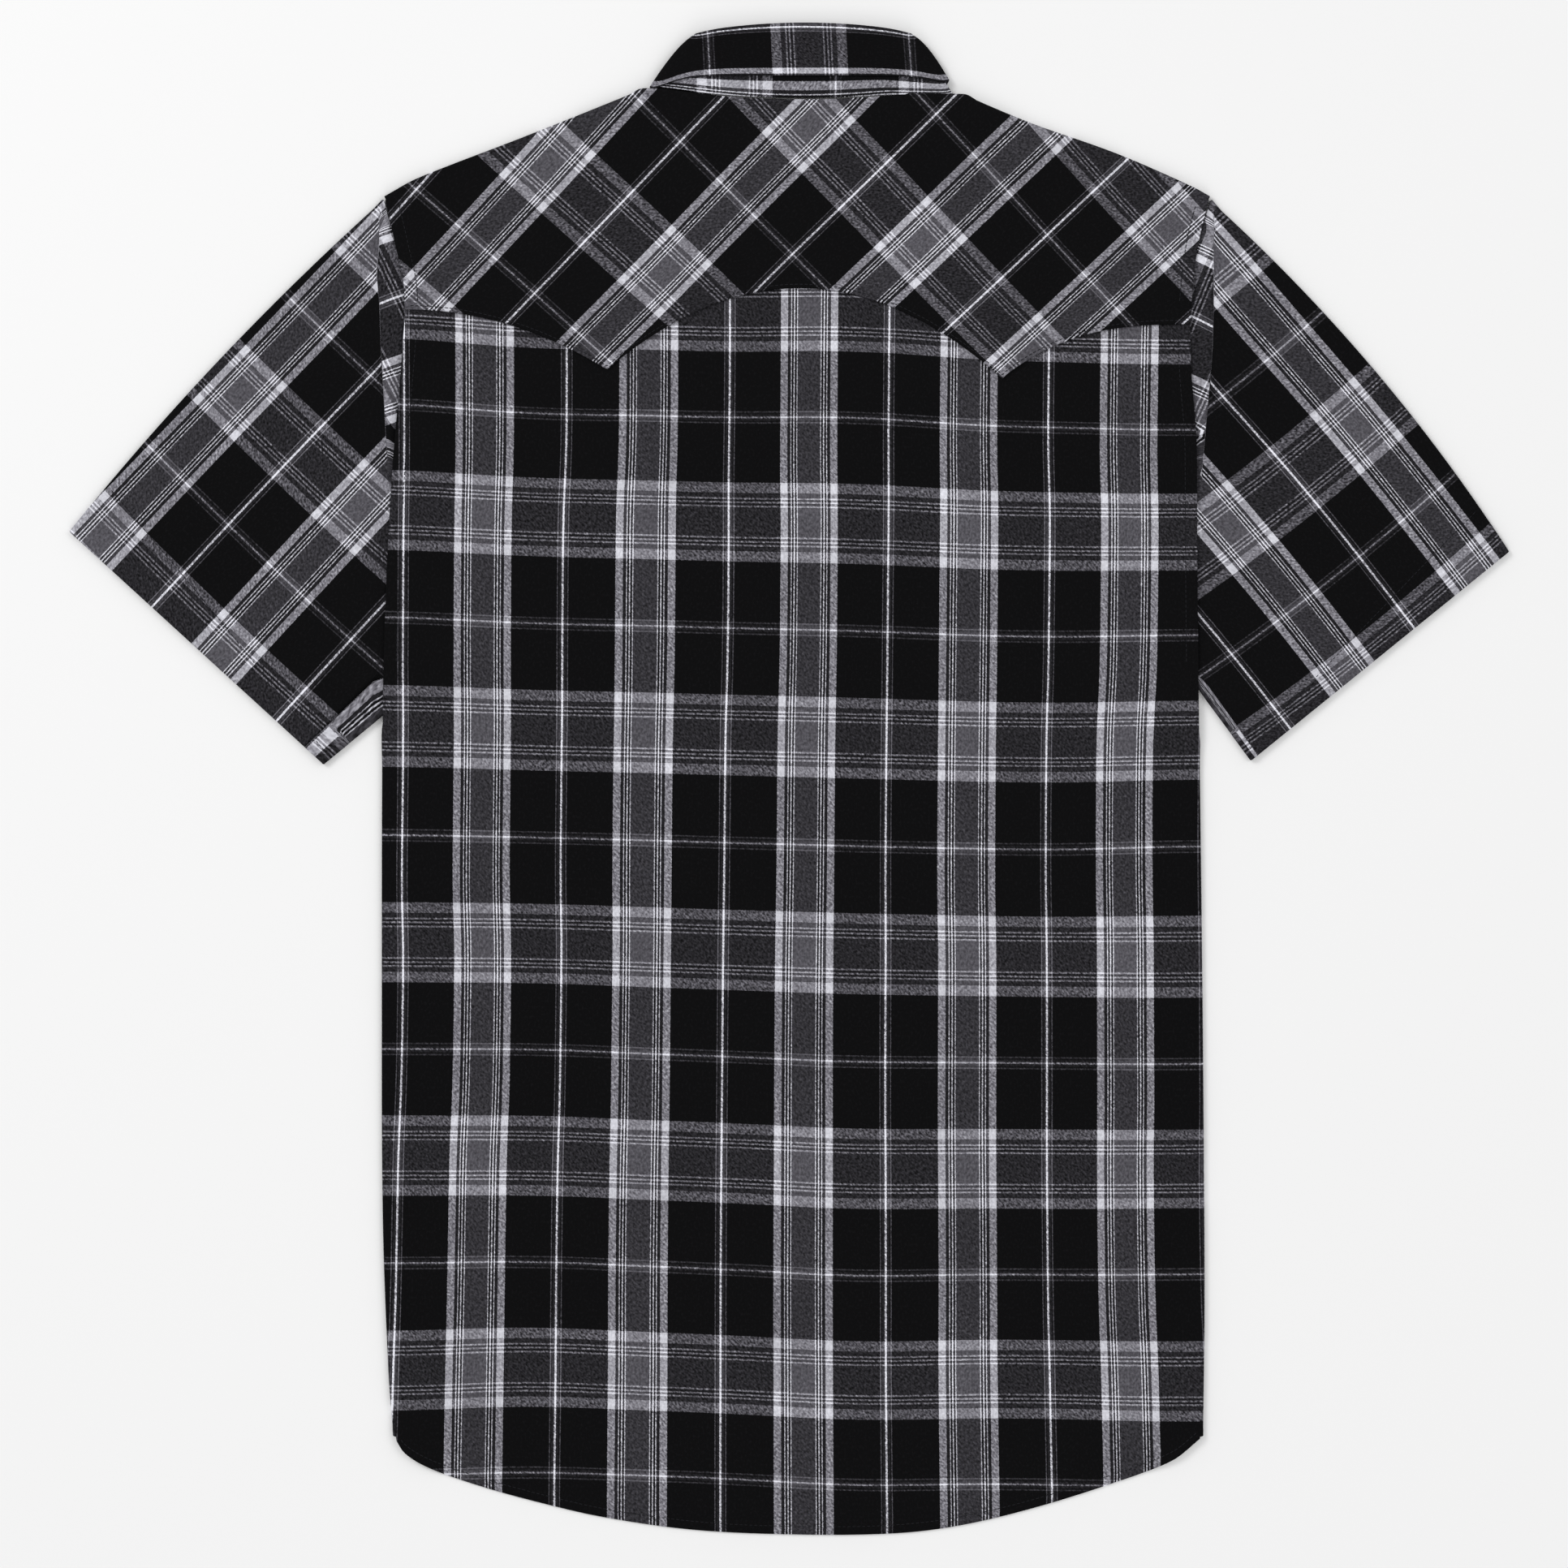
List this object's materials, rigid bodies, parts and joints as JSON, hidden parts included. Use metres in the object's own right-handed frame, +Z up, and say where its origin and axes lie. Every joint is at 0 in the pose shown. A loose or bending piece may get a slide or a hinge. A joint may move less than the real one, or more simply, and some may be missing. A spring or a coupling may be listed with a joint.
{
  "type": "short-sleeved western snap shirt",
  "caption": "Short-sleeved shirt laid flat, back up, with a two-point back yoke, a folded collar on a stand, a curved tail and a snap front.",
  "frame": {"origin": "on the surface the shirt lies on, under the middle of its outline", "axes": "+Z up out of the back, +Y from the tail to the collar, +X to the right across the back as seen from above"},
  "size_m": [0.7634, 0.8018, 0.007],
  "materials": {
    "plaid_cloth": "brushed cotton twill in a black, grey and white plaid",
    "snap_cap": "dark pearl cap, smooth"
  },
  "bodies": {
    "root": {"back": "plaid_cloth", "back_yoke": "plaid_cloth", "front_left": "plaid_cloth", "front_right": "plaid_cloth", "placket": "plaid_cloth", "sleeve_left": "plaid_cloth", "sleeve_right": "plaid_cloth", "collar_stand": "plaid_cloth", "collar_leaf": "plaid_cloth", "snap_1": "snap_cap", "snap_2": "snap_cap", "snap_3": "snap_cap", "snap_4": "snap_cap", "snap_5": "snap_cap", "snap_6": "snap_cap", "snap_7": "snap_cap", "snap_collar": "snap_cap"}
  },
  "joints": []
}
